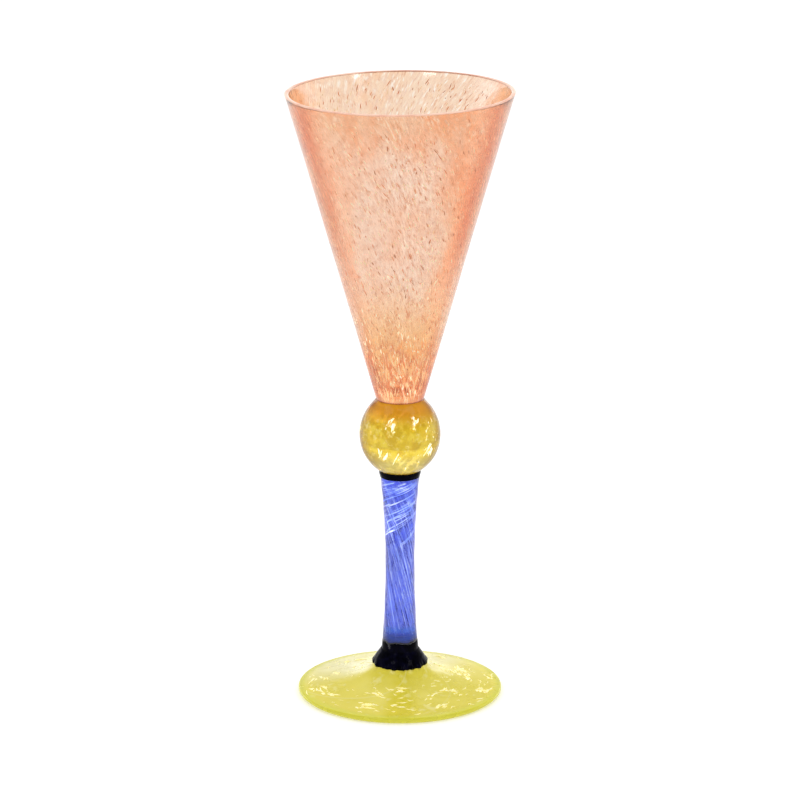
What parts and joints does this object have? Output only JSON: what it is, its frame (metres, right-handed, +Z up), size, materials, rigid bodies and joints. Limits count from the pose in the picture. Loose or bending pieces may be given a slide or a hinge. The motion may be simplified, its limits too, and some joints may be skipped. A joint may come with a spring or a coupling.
{
  "type": "champagne flute",
  "caption": "Stemmed flute of coloured studio glass: cone bowl, ball knop, waisted stem with dark collars, trumpet foot.",
  "frame": {"origin": "centre of the foot's resting plane, on the stem's axis", "axes": "+Z up along the axis, towards the rim; the glass is round, so +X and +Y are free, and -Y is the side that faces the viewer"},
  "size_m": [0.082, 0.082, 0.225],
  "materials": {
    "bowl_glass": "glossy, mottled with drawn-out flecks",
    "knop_glass": "glossy, with trapped bubbles and flecks",
    "collar_glass": "glossy, nearly opaque",
    "stem_glass": "glossy, with twisted threads inside",
    "foot_glass": "glossy, with pale flecks"
  },
  "bodies": {
    "root": {"bowl": "bowl_glass", "ball_knop": "knop_glass", "upper_collar": "collar_glass", "stem": "stem_glass", "lower_collar": "collar_glass", "foot": "foot_glass"}
  },
  "joints": []
}
